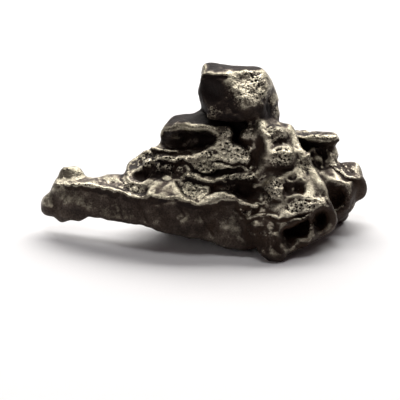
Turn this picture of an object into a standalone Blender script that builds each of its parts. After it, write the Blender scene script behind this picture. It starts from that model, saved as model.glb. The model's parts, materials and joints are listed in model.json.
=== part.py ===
"""An iron meteorite, a small individual torn along its metal crystals: a bar with a knob at the left,
a terraced hill with a hood over a hollow, a block standing on top, and hollowed lumps at the right.

Every place is given as the stone is seen from its front, 20 degrees above the table:
u runs to the right, v up and w towards the eye, all in millimetres. stand_up turns that frame upright.
"""

import math

import bmesh
import bpy
import numpy as np
from mathutils import Matrix, Vector, noise

# Driving dimensions
MM = 0.001
LENGTH = 32.8
DRAWN_LENGTH = 32.7
SCALE = LENGTH / DRAWN_LENGTH
VIEW_ELEVATION = math.radians(20)
VOXEL = 0.22
FUSE_ROUNDS = 3
TRIANGLES = 9400
GROUND = -3.72
UNEVEN = 0.35
# How far the bar falls back for each millimetre that it runs to the left of the hill, and where it begins to
TAIL_LEAN = 0.36
LEAN_START = -3.0
# The surface's own unevenness: size of its swells and how far they reach
SWELLS = ((2.8, 0.3), (1.2, 0.14))
DENTS = 150
DENT_SEED = 7

# Convex lumps of metal, each the hull of its corners
LUMPS = {
    "tail end": [
        (-14.9, 1.0, 2.6), (-14.6, 1.6, 3.2), (-12.0, 1.4, 3.7), (-11.0, 1.0, 3.8), (-15.1, -0.5, 2.4),
        (-14.8, -1.7, 2.6), (-14.0, -2.35, 2.6), (-12.4, -2.3, 3.0), (-11.4, -1.7, 3.4),
        (-13.4, -0.3, 3.9), (-11.6, 0.0, 4.0), (-14.3, 2.4, 1.0), (-11.6, 2.42, 1.0), (-14.5, 0.0, 0.0),
        (-14.0, -1.1, 0.2), (-11.6, -0.7, 0.3),
    ],
    "tail knob": [
        (-14.4, 2.2, 1.6), (-14.15, 3.0, 1.3), (-13.7, 3.4, 1.2), (-12.9, 3.5, 1.2), (-12.2, 3.42, 1.2),
        (-11.7, 3.1, 1.3), (-11.3, 2.5, 1.6), (-12.9, 3.2, 2.1), (-12.0, 2.7, 2.4), (-13.7, 2.6, 2.3),
        (-13.3, 2.3, 0.0), (-12.2, 2.5, 0.1), (-13.0, 1.8, 2.6),
    ],
    "plate": [
        (1.9, 6.1, 1.2), (3.2, 5.9, 1.5), (4.0, 5.3, 2.1), (4.9, 4.5, 2.9), (5.0, 4.0, 3.3), (4.6, 3.7, 3.5),
        (3.5, 3.75, 3.4), (0.3, 4.3, 2.5), (0.8, 5.0, 2.0), (1.9, 6.0, 0.0), (4.5, 4.5, 1.0), (0.5, 4.5, 0.8),
        (3.5, 3.9, 1.8),
    ],
    "tail neck": [
        (-12.2, 1.4, 3.6), (-12.2, -1.2, 3.4), (-10.0, 1.2, 3.9), (-10.2, -1.4, 3.7), (-7.0, 0.4, 4.4),
        (-7.2, -2.4, 4.2), (-8.8, -2.1, 3.9), (-12.2, 2.4, 0.9), (-7.2, 2.45, 1.3), (-12.0, -0.5, 0.2),
        (-7.2, -1.0, 0.6),
    ],
    "wall left": [
        (-8.0, 0.7, 4.2), (-5.8, 0.0, 4.7), (-4.3, 0.15, 4.8), (-3.5, 0.1, 4.9), (-7.9, -2.2, 4.0),
        (-5.8, -2.55, 4.1), (-4.0, -2.9, 4.6), (-5.0, -1.2, 4.9), (-7.8, 2.2, 1.0), (-3.5, 3.0, 0.0),
        (-7.8, -0.8, 0.0), (-3.5, -1.5, -2.0),
    ],
    "wall middle": [
        (-5.0, 0.1, 4.8), (-2.5, 0.0, 5.0), (-0.5, -0.5, 5.1), (1.2, -0.4, 5.0), (-4.6, -2.7, 4.3),
        (-4.2, -3.2, 4.3), (-3.2, -3.6, 4.4), (-0.4, -3.75, 4.5), (1.0, -4.1, 4.6), (-2.0, -2.0, 5.2),
        (0.5, -2.2, 5.2), (-4.5, 2.0, 0.0), (1.2, 2.5, 0.0), (-4.0, -1.5, -3.0), (1.5, -1.5, -3.5),
    ],
    "wall right": [
        (0.5, -0.5, 5.0), (2.0, -0.15, 4.8), (2.8, -0.1, 4.7), (3.7, -0.5, 4.5), (4.6, -2.0, 4.7),
        (4.8, -3.5, 4.8), (5.4, -4.8, 5.0), (4.4, -4.95, 4.8), (3.2, -5.05, 4.7), (2.5, -4.95, 4.6),
        (1.2, -4.25, 4.6), (2.5, -2.8, 5.2), (1.0, 1.0, -1.0), (5.0, 1.0, -1.0), (1.5, -2.2, -2.5),
        (5.0, -2.5, -2.5),
    ],
    "hill left": [
        (-7.35, 2.8, 0.8), (-7.1, 3.55, 0.0), (-6.15, 4.42, -0.8), (-4.7, 5.25, -1.5),
        (-3.9, 5.6, -1.8), (-7.2, 2.0, 3.0), (-5.8, 0.2, 4.4), (-3.5, 0.3, 4.6), (-3.5, 4.0, 2.0),
        (-0.5, 0.3, 4.7), (-0.5, 4.2, 1.8), (-6.5, 1.0, -3.0), (-3.5, 3.5, -5.0), (-0.5, 5.0, -5.0),
        (-0.5, 0.0, -5.0),
    ],
    "hill middle": [
        (-1.5, 0.2, 4.6), (6.0, -0.5, 4.4), (-1.5, 4.0, 1.7), (5.0, 3.8, 1.9), (1.5, 6.0, 0.2),
        (3.5, 5.5, 0.6), (-1.5, 6.0, -5.0), (5.5, 6.0, -6.0), (-1.5, -0.5, -5.0), (5.5, -0.5, -6.5),
    ],
    "hood": [
        (-3.97, 5.8, -1.4), (-3.85, 6.5, -1.4), (-3.5, 7.0, -0.6), (-2.6, 7.35, 0.0), (-1.4, 7.7, 0.2),
        (0.0, 7.3, 0.3), (1.5, 7.1, 0.3), (3.2, 6.9, 0.2), (-3.6, 7.15, -1.2), (-3.1, 7.95, -1.6),
        (-2.65, 8.25, -2.0), (-1.7, 8.65, -2.8), (-0.8, 8.95, -3.2), (0.1, 9.1, -3.5), (3.2, 8.8, -3.5),
        (-3.5, 5.0, -3.5), (0.0, 7.0, -6.0), (3.5, 7.0, -6.0), (-3.0, 5.0, -1.0), (3.2, 6.0, -0.5),
    ],
    "block": [
        (0.1, 12.7, 0.6), (1.5, 12.6, 1.2), (2.9, 12.75, 1.2), (4.5, 12.95, 0.5), (6.2, 12.9, -0.3),
        (3.3, 11.2, 2.0), (6.5, 11.0, 0.8), (3.6, 10.3, 2.4), (6.3, 9.6, 1.5), (4.7, 9.3, 2.7),
        (6.2, 8.7, 1.1), (5.2, 8.3, 1.9), (0.7, 9.2, 1.4), (1.2, 8.2, 1.5), (2.2, 8.2, 1.5),
        (0.5, 13.65, -1.6), (4.3, 13.5, -1.8), (6.0, 13.27, -1.4), (6.6, 12.8, -0.6),
        (0.05, 12.1, -0.5), (-0.17, 11.3, -0.8), (0.1, 10.5, -0.6), (0.25, 9.2, -0.2),
        (6.8, 12.0, -1.0), (7.35, 10.73, -1.6), (7.77, 10.2, -1.8), (7.87, 8.6, -1.8),
        (7.85, 8.0, -1.6), (6.2, 8.1, -0.6), (5.0, 7.9, 0.5), (3.8, 7.8, 0.4), (0.7, 12.5, -4.5),
        (6.2, 12.2, -5.0), (7.2, 10.0, -5.0), (7.2, 8.2, -5.0), (0.7, 9.2, -4.5), (3.5, 12.8, -5.0),
    ],
    "block neck": [
        (1.5, 8.8, -1.0), (7.2, 8.8, -1.2), (1.5, 6.0, -1.5), (8.0, 6.5, -1.5), (1.5, 8.8, -5.0),
        (8.2, 7.5, -4.0), (2.0, 6.0, -5.5), (8.0, 6.5, -5.5),
    ],
    "arm facet": [
        (5.7, 8.15, 0.5), (5.2, 7.9, 0.3), (3.9, 6.6, 0.9), (4.1, 6.2, 1.5), (5.7, 6.3, 2.4),
        (6.1, 7.0, 1.9), (5.0, 7.0, -0.5), (4.2, 6.2, -0.5), (6.2, 6.6, 0.0),
    ],
    "arm": [
        (5.7, 8.1, 0.9), (5.2, 7.9, 0.6), (4.0, 6.5, 0.4), (4.3, 6.0, 1.0), (5.2, 5.0, 1.4),
        (5.4, 3.7, 2.0), (6.0, 2.8, 2.8), (6.2, 7.2, 1.8), (6.7, 5.5, 2.6), (6.9, 4.0, 3.3),
        (6.6, 3.0, 3.4), (8.0, 7.8, -0.6), (8.7, 7.2, -0.8), (9.5, 6.0, 0.2), (9.6, 4.8, 1.2),
        (9.3, 3.3, 2.6), (7.5, 3.2, 3.6), (4.5, 7.0, -4.0), (9.0, 6.5, -5.0), (9.5, 3.5, -4.0),
        (5.5, 3.0, -4.0),
    ],
    "face": [
        (6.4, 2.2, 3.4), (6.2, 1.4, 3.7), (6.8, 0.2, 4.5), (7.7, -1.9, 5.6), (9.0, -1.65, 5.8),
        (10.9, -1.3, 5.4), (11.5, -0.7, 5.0), (12.7, -0.4, 4.0), (12.0, 1.6, 2.6), (10.8, 3.8, 1.4),
        (9.7, 4.0, 2.0), (8.5, 2.8, 3.4), (7.5, 2.8, 3.5), (6.5, 1.5, -4.0), (11.0, 3.5, -5.0),
        (12.2, 0.0, -4.0), (8.0, -1.5, -3.0), (11.0, -1.5, -3.0),
    ],
    "rim": [
        (10.0, 5.0, 0.2), (11.2, 3.5, 0.9), (12.2, 1.5, 1.6), (13.0, -0.3, 2.6), (13.4, -1.5, 2.6),
        (13.48, -2.6, 2.4), (13.0, -3.0, 2.8), (12.2, -3.6, 3.2), (11.6, -4.0, 3.8), (11.1, -3.4, 4.4),
        (10.9, -2.2, 4.8), (11.3, -0.8, 4.9), (12.7, -0.45, 4.2), (12.9, -1.5, 3.8), (12.8, -2.7, 3.4),
        (12.0, 2.5, -2.0), (12.8, -1.5, -1.5), (11.2, -2.8, -1.0), (10.5, 3.5, -2.0),
    ],
    "cavity floor": [
        (8.1, -3.6, 3.0), (9.2, -5.0, 5.2), (10.0, -4.6, 5.4), (10.9, -4.3, 5.0), (11.6, -4.0, 4.2),
        (8.5, -5.6, 5.8), (9.8, -3.8, 5.2), (11.2, -3.6, 4.4), (8.5, -3.7, -0.5), (11.0, -3.2, -1.0),
    ],
    "front foot": [
        (4.6, -1.9, 4.9), (6.2, -1.65, 5.7), (7.4, -1.9, 5.9), (7.9, -2.2, 5.7), (4.7, -3.0, 5.3),
        (5.1, -3.9, 5.6), (5.8, -4.7, 6.0), (6.6, -5.5, 6.2), (7.2, -6.1, 6.2), (7.9, -6.2, 6.1),
        (8.7, -5.8, 5.9), (9.1, -5.4, 5.6), (8.3, -4.0, 5.9), (6.2, -3.2, 6.6), (7.2, -4.5, 6.8),
        (5.0, -3.2, 1.5), (6.2, -4.4, 2.0), (8.5, -4.6, 2.0), (7.5, -2.2, 0.5),
    ],
    "right lump": [
        (11.7, 2.8, 0.2), (13.4, 3.3, -0.8), (15.0, 2.2, -0.8), (15.3, 1.2, -0.4), (15.4, -0.5, -1.2),
        (14.8, -1.3, -1.8), (14.0, -1.7, -2.5), (13.5, -2.2, -3.0), (12.5, -2.2, -1.0),
        (12.3, 1.6, 0.9), (13.4, 1.55, 1.4), (14.4, 1.3, 0.9), (15.0, 0.3, 0.4), (14.7, -0.8, 0.2),
        (13.6, -1.6, 0.0), (12.2, 3.0, -5.0), (15.0, 1.8, -5.5), (15.0, -0.5, -6.0), (13.8, -2.0, -5.5),
        (12.5, -1.5, -5.0),
    ],
    "far lump": [
        (13.4, 3.6, -1.2), (14.7, 3.93, -2.4), (15.4, 4.0, -2.6), (15.77, 3.65, -2.4),
        (16.05, 3.0, -2.0), (16.4, 2.2, -1.7), (16.72, 1.4, -1.8), (16.72, 0.8, -2.0),
        (16.3, 0.07, -2.4), (15.6, -0.2, -2.6), (15.2, 1.9, -0.6), (14.5, 2.2, -0.4), (13.8, 2.8, -0.5),
        (15.8, 2.2, -0.8), (16.0, 1.4, -0.8), (14.3, 3.4, -6.0), (16.1, 2.4, -5.5), (16.2, 0.8, -5.2),
        (15.0, 0.4, -6.0),
    ],
    "shelf": [
        (9.3, 7.25, -2.8), (10.5, 7.15, -3.2), (11.6, 7.05, -3.3), (12.5, 6.8, -3.1),
        (13.5, 6.67, -2.8), (14.0, 6.25, -2.2), (13.9, 5.7, -1.9), (13.1, 5.8, -1.2), (11.6, 5.9, -0.8),
        (10.3, 6.0, -0.6), (9.6, 6.5, -1.0), (10.3, 5.7, -1.2), (13.2, 5.5, -1.8), (13.7, 5.4, -2.6),
        (9.6, 6.5, -6.0), (13.0, 6.0, -6.0),
    ],
    "shelf post": [
        (10.0, 6.0, -3.0), (13.0, 5.5, -3.0), (13.7, 5.2, -3.0), (14.0, 4.2, -2.8), (13.5, 3.8, -1.6),
        (12.0, 3.2, -1.2), (10.5, 4.0, -1.0), (10.0, 5.5, -6.5), (13.5, 4.5, -6.5), (11.0, 2.5, -6.0),
    ],
    "back": [
        (-3.0, 5.0, -4.0), (1.5, 7.5, -5.5), (8.5, 6.5, -6.0), (12.0, 4.0, -7.0), (12.5, 0.5, -7.0),
        (8.0, 0.0, -7.5), (2.0, 0.0, -7.0), (-2.5, -0.5, -5.0), (4.0, 3.5, -8.0), (9.0, 3.0, -8.2),
        (-2.0, -1.5, -1.0), (10.0, -1.5, -1.0),
    ],
    "back foot": [
        (-3.5, -2.2, -1.0), (-2.4, -2.85, -3.0), (-1.2, -2.55, -3.9), (-0.6, -2.2, -2.0),
        (-3.8, -1.0, -3.5), (-1.0, -0.5, -5.5), (0.5, -1.0, -4.0), (-2.0, -0.5, -1.0),
    ],
    "cavity back": [
        (7.8, -3.9, 2.0), (7.8, 0.0, 2.0), (12.6, 0.0, 1.8), (12.4, -3.0, 1.6), (11.0, -3.8, 2.2),
        (9.0, -4.2, 2.4), (8.0, -3.2, -1.5), (12.0, -2.2, -1.5), (12.3, 0.3, -1.5), (8.0, 0.5, -1.5),
    ],
    "core": [
        (3.0, -2.6, 3.6), (7.8, -2.4, 3.6), (7.8, 1.0, 3.0), (3.0, 1.0, 3.0), (3.0, -2.4, -2.0),
        (7.8, -1.8, -2.0), (7.8, 1.0, -3.0), (3.0, 1.0, -3.0),
    ],
    "core top": [
        (4.8, 3.4, 2.3), (7.8, 3.4, 2.6), (7.6, 0.8, 3.9), (5.0, 0.8, 3.6), (5.0, 3.0, -1.0),
        (7.5, 3.0, -1.0), (6.5, 1.5, 3.9),
    ],
    "core front": [
        (6.4, 0.2, 4.2), (8.2, 0.0, 4.7), (8.2, -1.8, 5.1), (6.4, -1.9, 5.3), (6.4, 0.0, 1.0),
        (8.0, -1.6, 1.0), (7.2, -0.9, 5.1),
    ],
    "saddle": [
        (3.4, 0.2, 4.4), (3.6, -1.8, 4.6), (5.0, -2.2, 4.8), (6.8, -2.0, 5.3), (6.8, -0.2, 4.4),
        (6.2, 0.6, 3.9), (4.8, 0.3, 4.3), (3.6, 0.0, 1.0), (6.8, 0.0, 1.0), (5.0, -2.0, 1.0),
    ],
    "plate": [
        (1.9, 6.1, 1.0), (3.2, 5.8, 1.3), (4.1, 5.2, 1.8), (4.8, 4.5, 2.4), (4.95, 3.9, 2.7),
        (4.5, 3.7, 2.9), (3.0, 3.9, 2.6), (1.2, 4.2, 2.2), (0.2, 4.3, 1.9), (0.8, 5.1, 1.3),
        (1.9, 6.0, -0.5), (4.0, 5.0, 0.0), (4.6, 4.0, 0.5), (0.6, 4.6, 0.0),
    ],
    "facet": [
        (-4.8, 0.8, 4.7), (-4.2, 1.6, 4.2), (-2.7, 1.65, 4.2), (-2.2, 0.7, 4.8), (-1.6, 0.0, 5.1),
        (-5.0, 0.1, 5.0), (-4.8, 0.8, 3.0), (-2.2, 0.7, 3.0), (-4.0, 1.5, 3.0),
    ],
}

# Rounded lumps: centre, three radii
BALLS = {
    "tail bulge": ((-15.05, -0.65, 1.9), (0.95, 1.1, 1.3)),
    "upper boss": ((7.5, 6.5, 0.9), (1.0, 0.8, 1.0)),
    "lower boss": ((8.1, 4.4, 2.4), (1.5, 1.25, 1.25)),
    "hood corner": ((2.5, 6.8, 0.7), (0.8, 0.65, 0.7)),
    "block corner": ((1.4, 8.8, 1.2), (0.9, 0.75, 0.7)),
    "foot brow": ((5.7, -2.6, 5.7), (0.7, 0.5, 0.6)),
    "foot side": ((7.0, -3.6, 6.1), (0.8, 0.9, 0.8)),
    "foot heel": ((6.6, -4.9, 6.0), (0.7, 0.8, 0.7)),
    "face lump": ((7.6, 1.0, 4.3), (1.0, 1.2, 0.7)),
    "hill knob": ((-5.2, 3.4, 2.2), (0.7, 0.7, 0.9)),
    "hill knob low": ((-3.2, 3.0, 3.3), (0.5, 0.5, 0.9)),
}

# The three feet: centre, three radii
FEET = (
    ((7.5, -5.1, 5.7), (1.0, 1.05, 1.1)),
    ((13.6, -1.38, -4.6), (1.3, 0.95, 1.3)),
    ((-2.3, -2.3, -2.3), (1.4, 1.0, 1.4)),
)

# Raised edges that run along the terraces: thickness, then the places that they pass
EDGES = {
    "wall top": (0.35, [
        (-14.2, 1.45, 3.1), (-12.5, 1.4, 3.7), (-10.5, 1.3, 3.9), (-9.2, 1.0, 4.2), (-8.0, 0.7, 4.4),
        (-7.0, 0.3, 4.7), (-5.8, 0.0, 4.9), (-4.5, 0.15, 5.0), (-3.2, 0.05, 5.1), (-1.8, -0.2, 5.2),
        (-0.4, -0.5, 5.3), (0.6, -0.5, 5.2), (1.6, -0.2, 5.1), (2.6, -0.05, 4.9), (3.6, -0.3, 4.8),
    ]),
    "rise": (0.3, [
        (-0.3, -0.5, 5.1), (0.8, 0.1, 5.0), (1.8, 0.6, 4.8), (2.8, 0.3, 4.8), (3.6, -0.2, 4.8),
    ]),
    "shelf edge": (0.45, [(10.2, 6.3, -1.0), (11.5, 6.25, -1.0), (12.7, 6.1, -1.3), (13.5, 6.0, -1.8)]),
    "step": (0.35, [(3.7, -0.4, 4.9), (4.9, -0.65, 5.2), (6.0, -0.65, 5.2)]),
    "foot top": (0.3, [
        (4.6, -1.9, 5.1), (5.5, -1.75, 5.6), (6.3, -1.6, 5.8), (7.2, -1.75, 5.8), (7.7, -2.05, 5.8),
    ]),
    "fourth terrace": (0.42, [
        (-1.7, 2.4, 3.6), (-0.4, 2.5, 3.6), (0.4, 2.2, 4.0), (1.3, 1.9, 4.2), (2.2, 1.9, 4.2),
        (3.0, 2.3, 3.9), (4.3, 2.6, 3.7), (5.4, 2.6, 3.7), (5.9, 2.1, 3.9),
    ]),
    "third terrace": (0.35, [
        (-0.7, 3.3, 2.7), (0.5, 3.2, 3.1), (1.2, 3.35, 3.0), (2.5, 3.45, 3.0), (3.8, 3.4, 3.0),
        (5.0, 3.1, 3.0),
    ]),
    "second terrace": (0.4, [
        (-3.7, 3.9, 2.1), (-2.5, 4.15, 2.0), (-1.4, 4.25, 2.0), (-0.7, 3.9, 2.3), (-0.1, 3.4, 2.8),
    ]),
    "first terrace": (0.3, [(-4.8, 5.05, 0.3), (-3.8, 4.9, 0.6), (-2.2, 4.75, 0.9)]),
    "hood edge": (0.48, [
        (-3.2, 6.6, -0.5), (-2.7, 7.0, 0.0), (-1.9, 7.35, 0.3), (-1.4, 7.6, 0.3), (-0.9, 7.3, 0.5),
        (0.0, 7.2, 0.7), (1.2, 7.05, 0.8), (2.2, 6.7, 0.9), (3.1, 6.4, 0.8),
    ]),
    "left edge": (0.3, [(-7.1, 2.8, 0.5), (-6.7, 3.5, 0.1), (-5.9, 4.2, -0.5), (-4.8, 4.85, -0.9)]),
    "cavity wall": (0.24, [
        (11.5, -0.7, 5.0), (11.1, -1.5, 4.9), (10.9, -2.5, 4.7), (11.0, -3.4, 4.5), (11.5, -4.1, 4.1),
    ]),
    "right ridge": (0.6, [
        (8.7, 7.0, -0.6), (9.4, 5.9, 0.3), (9.9, 4.7, 1.1), (10.7, 3.4, 1.7), (11.5, 1.9, 2.4),
        (12.1, 0.6, 3.0), (12.7, -0.7, 3.5), (13.0, -1.8, 3.0), (12.9, -2.6, 2.7),
    ]),
    "back upper edge": (0.5, [
        (-2.9, 4.9, -4.3), (-0.6, 6.3, -5.0), (1.8, 7.2, -5.6), (4.4, 7.0, -6.3), (7.2, 6.3, -6.5),
        (9.2, 5.6, -6.7),
    ]),
    "back middle edge": (0.45, [
        (-2.2, 1.8, -5.4), (0.5, 1.7, -6.5), (2.8, 2.0, -7.5), (5.2, 1.6, -8.0), (8.0, 1.2, -8.1),
        (10.2, 0.6, -7.7), (12.2, 0.9, -7.1),
    ]),
    "back diagonal": (0.4, [(8.2, 5.8, -6.9), (8.6, 4.0, -7.9), (8.3, 2.6, -8.3), (9.0, 1.2, -8.1)]),
    "block back edge": (0.4, [(0.9, 12.0, -4.4), (2.5, 10.0, -4.9), (4.6, 9.2, -5.1), (7.0, 10.0, -4.9)]),
    "arm ridge": (0.5, [
        (6.0, 7.7, 0.8), (6.3, 6.9, 1.8), (6.7, 5.8, 2.6), (6.8, 4.7, 3.1), (6.6, 3.6, 3.2),
        (6.1, 2.8, 3.0),
    ]),
}

# Hollows pressed or broken out of the metal: centre, three radii, turn in the view's plane
HOLLOWS = {
    "back upper": ((5.4, 3.4, -8.6), (2.6, 1.7, 1.7), 10),
    "back left": ((-0.2, 3.2, -6.9), (2.0, 1.5, 1.6), -35),
    "back right": ((10.6, 2.3, -8.3), (1.7, 1.9, 1.8), 20),
    "back low": ((4.4, 0.2, -8.0), (2.2, 0.9, 1.3), 0),
    "block back": ((4.2, 10.9, -5.7), (1.8, 1.3, 1.3), 25),
    "block side": ((8.3, 9.9, -3.4), (0.9, 1.0, 1.2), 0),
    "tail back": ((-9.6, 0.6, -0.2), (1.7, 0.9, 1.1), 6),
    "tail end": ((-15.2, 1.5, 0.4), (0.7, 0.8, 0.9), 0),
    "right back": ((15.3, 1.2, -6.6), (1.2, 1.0, 1.3), 0),
    "hood back": ((0.4, 8.6, -5.6), (1.7, 1.0, 1.4), -10),
    "under hood": ((-0.65, 5.75, 1.0), (2.45, 1.1, 2.2), 12),
    "left end": ((-6.1, 2.6, 3.3), (1.1, 0.9, 1.9), 25),
    "left": ((-4.3, 2.85, 3.8), (1.5, 0.85, 1.9), 8),
    "left inner": ((-2.2, 2.95, 3.8), (1.6, 0.75, 1.7), -6),
    "under third": ((2.7, 2.9, 3.9), (2.3, 0.34, 1.1), 2),
    "oval": ((4.3, 0.95, 4.7), (2.35, 1.05, 2.0), -8),
    "face": ((9.0, 1.3, 4.6), (0.85, 0.85, 1.0), 30),
    "face right": ((9.8, 1.0, 4.0), (0.8, 0.65, 1.0), -20),
    "face top": ((9.2, 2.0, 4.0), (0.9, 0.5, 0.9), 20),
    "right lump": ((13.4, 0.2, 1.0), (1.35, 1.5, 1.9), 10),
    "under shelf": ((11.9, 4.85, -0.5), (1.5, 0.85, 1.9), -20),
    "block left": ((0.8, 10.8, 3.2), (2.4, 2.0, 3.0), 0),
    "block low": ((3.4, 8.8, 3.6), (1.1, 1.7, 2.0), 40),
    "foot": ((7.7, -4.7, 6.9), (0.5, 1.1, 0.8), 12),
    "foot brow": ((5.9, -3.6, 6.8), (0.6, 0.4, 0.6), 20),
    "arm left": ((5.8, 4.9, 2.9), (0.5, 1.6, 1.2), -14),
    "beside rim": ((12.7, 0.0, 1.4), (0.5, 1.6, 2.2), -28),
    "big cavity": ((9.3, -2.6, 5.0), (1.6, 0.95, 3.2), 28),
    "small cavity": ((12.0, -2.05, 4.2), (0.75, 1.2, 2.8), -8),
}

# Deep cracks between crystals: half width, depth, then the places that they pass
CRACKS = {
    "upper fissure": (0.34, 1.1, [
        (3.4, 7.4, 0.4), (3.6, 6.6, 1.0), (4.2, 6.0, 1.4), (5.0, 5.2, 2.2), (5.2, 4.4, 2.7),
        (5.4, 3.4, 3.1),
    ]),
    "lower fissure": (0.28, 0.7, [
        (5.4, 3.4, 3.4), (6.0, 2.3, 3.9), (6.3, 1.4, 4.4), (7.0, 0.4, 4.9), (7.7, -0.4, 5.3),
    ]),
    "arm's foot": (0.32, 0.6, [(5.6, 2.2, 4.0), (6.6, 2.6, 3.9), (7.8, 2.9, 3.8), (9.2, 3.0, 3.4)]),
    "between bosses": (0.2, 0.4, [(7.6, 5.75, 2.8), (8.4, 5.9, 2.0)]),
    "block groove": (0.45, 0.8, [(6.4, 10.0, 1.5), (6.8, 9.3, 1.1), (7.0, 8.4, 0.7)]),
    "left crack": (0.28, 0.9, [(-4.6, 4.55, 1.2), (-3.4, 4.5, 1.6), (-2.0, 4.45, 1.9)]),
    "under second": (0.22, 0.7, [(1.0, 3.95, 2.9), (2.4, 3.9, 2.9), (4.4, 3.85, 3.2)]),
}


def stand_up():
    """The turn from the view's frame, in millimetres, to the stone's own frame, in metres."""
    right = Vector((1, 0, 0))
    up = Vector((0, math.sin(VIEW_ELEVATION), math.cos(VIEW_ELEVATION)))
    near = Vector((0, -math.cos(VIEW_ELEVATION), math.sin(VIEW_ELEVATION)))
    turn = Matrix((right, up, near)).transposed().to_4x4()
    return Matrix.Scale(SCALE * MM, 4) @ turn


def add_hull(bm, points):
    made = [bm.verts.new(point) for point in points]
    found = bmesh.ops.convex_hull(bm, input=made)
    spare = {item for key in ("geom_interior", "geom_unused") for item in found[key]}
    loose = [item for item in spare if isinstance(item, bmesh.types.BMVert) and item.is_valid]
    bmesh.ops.delete(bm, geom=loose, context="VERTS")


def ball_points(centre, radii, turn=0, subdivisions=2, uneven=0.0):
    ball = bmesh.new()
    bmesh.ops.create_icosphere(ball, subdivisions=subdivisions, radius=1)
    turned = Matrix.Rotation(math.radians(turn), 4, "Z")
    place = Matrix.Translation(centre) @ turned @ Matrix.Diagonal((*radii, 1))
    points = []
    for vertex in ball.verts:
        swell = 1 + uneven * noise.noise(vertex.co * 1.3 + Vector(centre))
        points.append(place @ (vertex.co * swell))
    ball.free()
    return points


def add_chain(bm, radius, path, depth=None):
    """A rounded bar along a path: the hull of each two neighbouring balls."""
    radii = (radius, radius, depth or radius)
    for start, end in zip(path, path[1:]):
        add_hull(bm, ball_points(start, radii, subdivisions=1) + ball_points(end, radii, subdivisions=1))


def object_from(bm, name):
    bmesh.ops.recalc_face_normals(bm, faces=bm.faces)
    mesh = bpy.data.meshes.new(name)
    bm.to_mesh(mesh)
    bm.free()
    obj = bpy.data.objects.new(name, mesh)
    bpy.context.scene.collection.objects.link(obj)
    return obj


def evaluated_mesh(obj):
    graph = bpy.context.evaluated_depsgraph_get()
    return bpy.data.meshes.new_from_object(obj.evaluated_get(graph))


def metal_lumps():
    bm = bmesh.new()
    for points in LUMPS.values():
        add_hull(bm, points)
    for centre, radii in BALLS.values():
        add_hull(bm, ball_points(centre, radii, uneven=UNEVEN))
    for centre, radii in FEET:
        add_hull(bm, ball_points(centre, radii))
    for thickness, path in EDGES.values():
        add_chain(bm, thickness, path)
    return object_from(bm, "lumps")


def hollow_shapes():
    bm = bmesh.new()
    for centre, radii, turn in HOLLOWS.values():
        add_hull(bm, ball_points(centre, radii, turn, uneven=UNEVEN))
    for half_width, depth, path in CRACKS.values():
        add_chain(bm, half_width, path, depth)
    return object_from(bm, "hollows")


def add_remesh(obj, voxel):
    remesh = obj.modifiers.new("fuse", "REMESH")
    remesh.mode = "VOXEL"
    remesh.voxel_size = voxel


def add_smooth(obj, rounds, factor=0.5):
    smooth = obj.modifiers.new("soften", "SMOOTH")
    smooth.iterations = rounds
    smooth.factor = factor


def keep_largest_piece(mesh):
    """Drops sealed bubbles that the fused lumps may enclose."""
    bm = bmesh.new()
    bm.from_mesh(mesh)
    left = set(bm.verts)
    pieces = []
    while left:
        piece = {left.pop()}
        edge_of_piece = list(piece)
        while edge_of_piece:
            vertex = edge_of_piece.pop()
            for edge in vertex.link_edges:
                other = edge.other_vert(vertex)
                if other in left:
                    left.discard(other)
                    piece.add(other)
                    edge_of_piece.append(other)
        pieces.append(piece)
    pieces.sort(key=len)
    for piece in pieces[:-1]:
        bmesh.ops.delete(bm, geom=list(piece), context="VERTS")
    bm.to_mesh(mesh)
    bm.free()


def points_and_normals(mesh):
    points = np.empty(len(mesh.vertices) * 3)
    mesh.vertices.foreach_get("co", points)
    normals = np.empty(len(mesh.vertices) * 3)
    mesh.vertex_normals.foreach_get("vector", normals)
    return points.reshape(-1, 3), normals.reshape(-1, 3)


def set_points(mesh, points):
    mesh.vertices.foreach_set("co", points.reshape(-1))
    mesh.update()


def swell_surface(mesh):
    points, normals = points_and_normals(mesh)
    reach = np.zeros(len(points))
    for size, depth in SWELLS:
        at = [noise.noise(Vector(point / size)) for point in points]
        reach += depth * np.array(at)
    set_points(mesh, points + normals * reach[:, None])


def dent_surface(mesh):
    """Shallow thumb marks over the sides, the back and the underside."""
    points, normals = points_and_normals(mesh)
    chance = np.random.default_rng(DENT_SEED)
    away = np.flatnonzero(normals[:, 2] < 0.2)
    for middle in chance.choice(away, DENTS, replace=False):
        radius = chance.uniform(0.5, 1.3)
        distance = np.linalg.norm(points - points[middle], axis=1) / radius
        share = np.clip(1 - distance**2, 0, 1) ** 2
        points = points - normals[middle] * (0.3 * radius * share)[:, None]
    set_points(mesh, points)


def lean_tail(mesh):
    """Swings the bar back, out of the plane that the front view shows."""
    points, _ = points_and_normals(mesh)
    beyond = np.maximum(LEAN_START - points[:, 0], 0)
    points[:, 2] -= TAIL_LEAN * beyond**2 / (beyond + 2.5)
    set_points(mesh, points)


def build_stone():
    lumps = metal_lumps()
    add_remesh(lumps, VOXEL)
    hollows = hollow_shapes()
    hollows.hide_render = True
    hollows.display_type = "WIRE"
    cut = lumps.modifiers.new("hollows", "BOOLEAN")
    cut.operation = "DIFFERENCE"
    cut.solver = "EXACT"
    cut.use_self = True
    cut.object = hollows
    add_remesh(lumps, VOXEL)
    add_smooth(lumps, FUSE_ROUNDS)
    mesh = evaluated_mesh(lumps)
    keep_largest_piece(mesh)
    swell_surface(mesh)
    dent_surface(mesh)
    bpy.data.objects.remove(lumps)
    bpy.data.objects.remove(hollows)
    return mesh


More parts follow.
